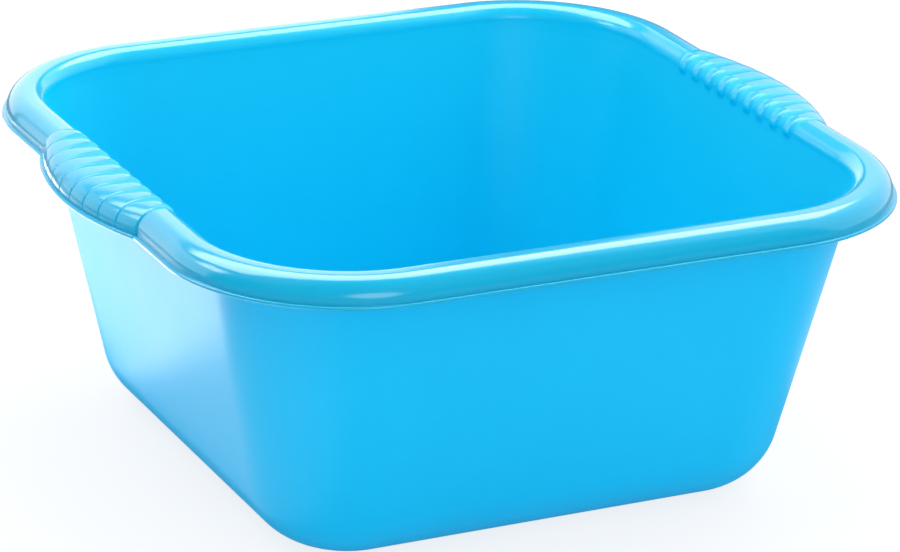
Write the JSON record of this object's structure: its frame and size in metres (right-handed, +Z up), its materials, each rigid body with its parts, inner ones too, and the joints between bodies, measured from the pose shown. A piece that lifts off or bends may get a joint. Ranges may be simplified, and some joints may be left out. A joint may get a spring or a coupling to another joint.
{
  "type": "washing up bowl",
  "caption": "Square plastic washing up bowl with tapered sides, rounded corners, a rolled rim and a swollen ribbed grip on opposite sides.",
  "frame": {"origin": "centre of the bowl on the plane that its foot stands on", "axes": "+Z up out of the mouth, +X through the right grip, -Y towards the front of the picture"},
  "size_m": [0.384, 0.36, 0.161],
  "materials": {
    "bowl": "smooth satin polypropylene, polished on the rim"
  },
  "bodies": {
    "root": {"basin_wall": "bowl", "basin_floor": "bowl", "front_rim": "bowl", "back_rim": "bowl", "left_grip": "bowl", "right_grip": "bowl"}
  },
  "joints": []
}
